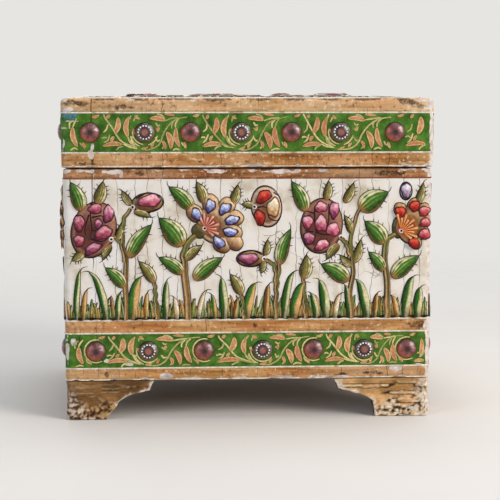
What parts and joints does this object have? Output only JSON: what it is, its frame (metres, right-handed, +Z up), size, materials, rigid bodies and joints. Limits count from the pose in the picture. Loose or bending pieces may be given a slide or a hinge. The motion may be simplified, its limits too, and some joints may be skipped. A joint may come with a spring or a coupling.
{
  "type": "painted trinket box",
  "caption": "Hand-painted wooden trinket box on bracket feet, with a hinged lid, banded borders with domed bosses, raised flowers on cream panels and a velvet lining.",
  "frame": {"origin": "on the floor under the middle of the box", "axes": "+X along the width, -Y out of the front, +Y towards the hinges, +Z up"},
  "size_m": [0.1544, 0.1144, 0.1325],
  "materials": {
    "painted_wood": "painted bands and a cream panel under a crackled varnish",
    "gilded_foot_wood": "worn gold-brown paint",
    "plain_wood": "bare, dark with age",
    "lacquered_boss": "glossy maroon lacquer on gesso",
    "painted_gesso": "glossy painted gesso relief",
    "velvet": "deep red velvet on card",
    "hinge_brass": "aged brass"
  },
  "bodies": {
    "case": {"front_board": "painted_wood", "back_board": "painted_wood", "left_board": "painted_wood", "right_board": "painted_wood", "bottom_board": "plain_wood", "foot_front_left": "gilded_foot_wood", "foot_front_right": "gilded_foot_wood", "foot_back_left": "gilded_foot_wood", "foot_back_right": "gilded_foot_wood", "case_plain_bosses": "lacquered_boss", "case_dotted_bosses": "lacquered_boss", "front_relief": "painted_gesso", "back_relief": "painted_gesso", "left_relief": "painted_gesso", "right_relief": "painted_gesso", "floor_lining": "velvet", "front_lining": "velvet", "back_lining": "velvet", "left_lining": "velvet", "right_lining": "velvet", "hinge_left_case_leaf": "hinge_brass", "hinge_right_case_leaf": "hinge_brass", "hinge_left_pin": "hinge_brass", "hinge_right_pin": "hinge_brass", "case_hinge_screws": "hinge_brass"},
    "lid": {"lid_top_board": "painted_wood", "lid_front_rail": "painted_wood", "lid_back_rail": "painted_wood", "lid_left_rail": "painted_wood", "lid_right_rail": "painted_wood", "lid_plain_bosses": "lacquered_boss", "lid_dotted_bosses": "lacquered_boss", "lid_relief": "painted_gesso", "lid_lining": "velvet", "hinge_left_lid_leaf": "hinge_brass", "hinge_right_lid_leaf": "hinge_brass", "lid_hinge_screws": "hinge_brass"}
  },
  "joints": [
    {"name": "lid_hinge", "type": "hinge", "parent": "case", "child": "lid", "pos_m": [0, 0.0528, 0.1025], "axis": [-1, 0, 0], "range_deg": [0, 105]}
  ]
}
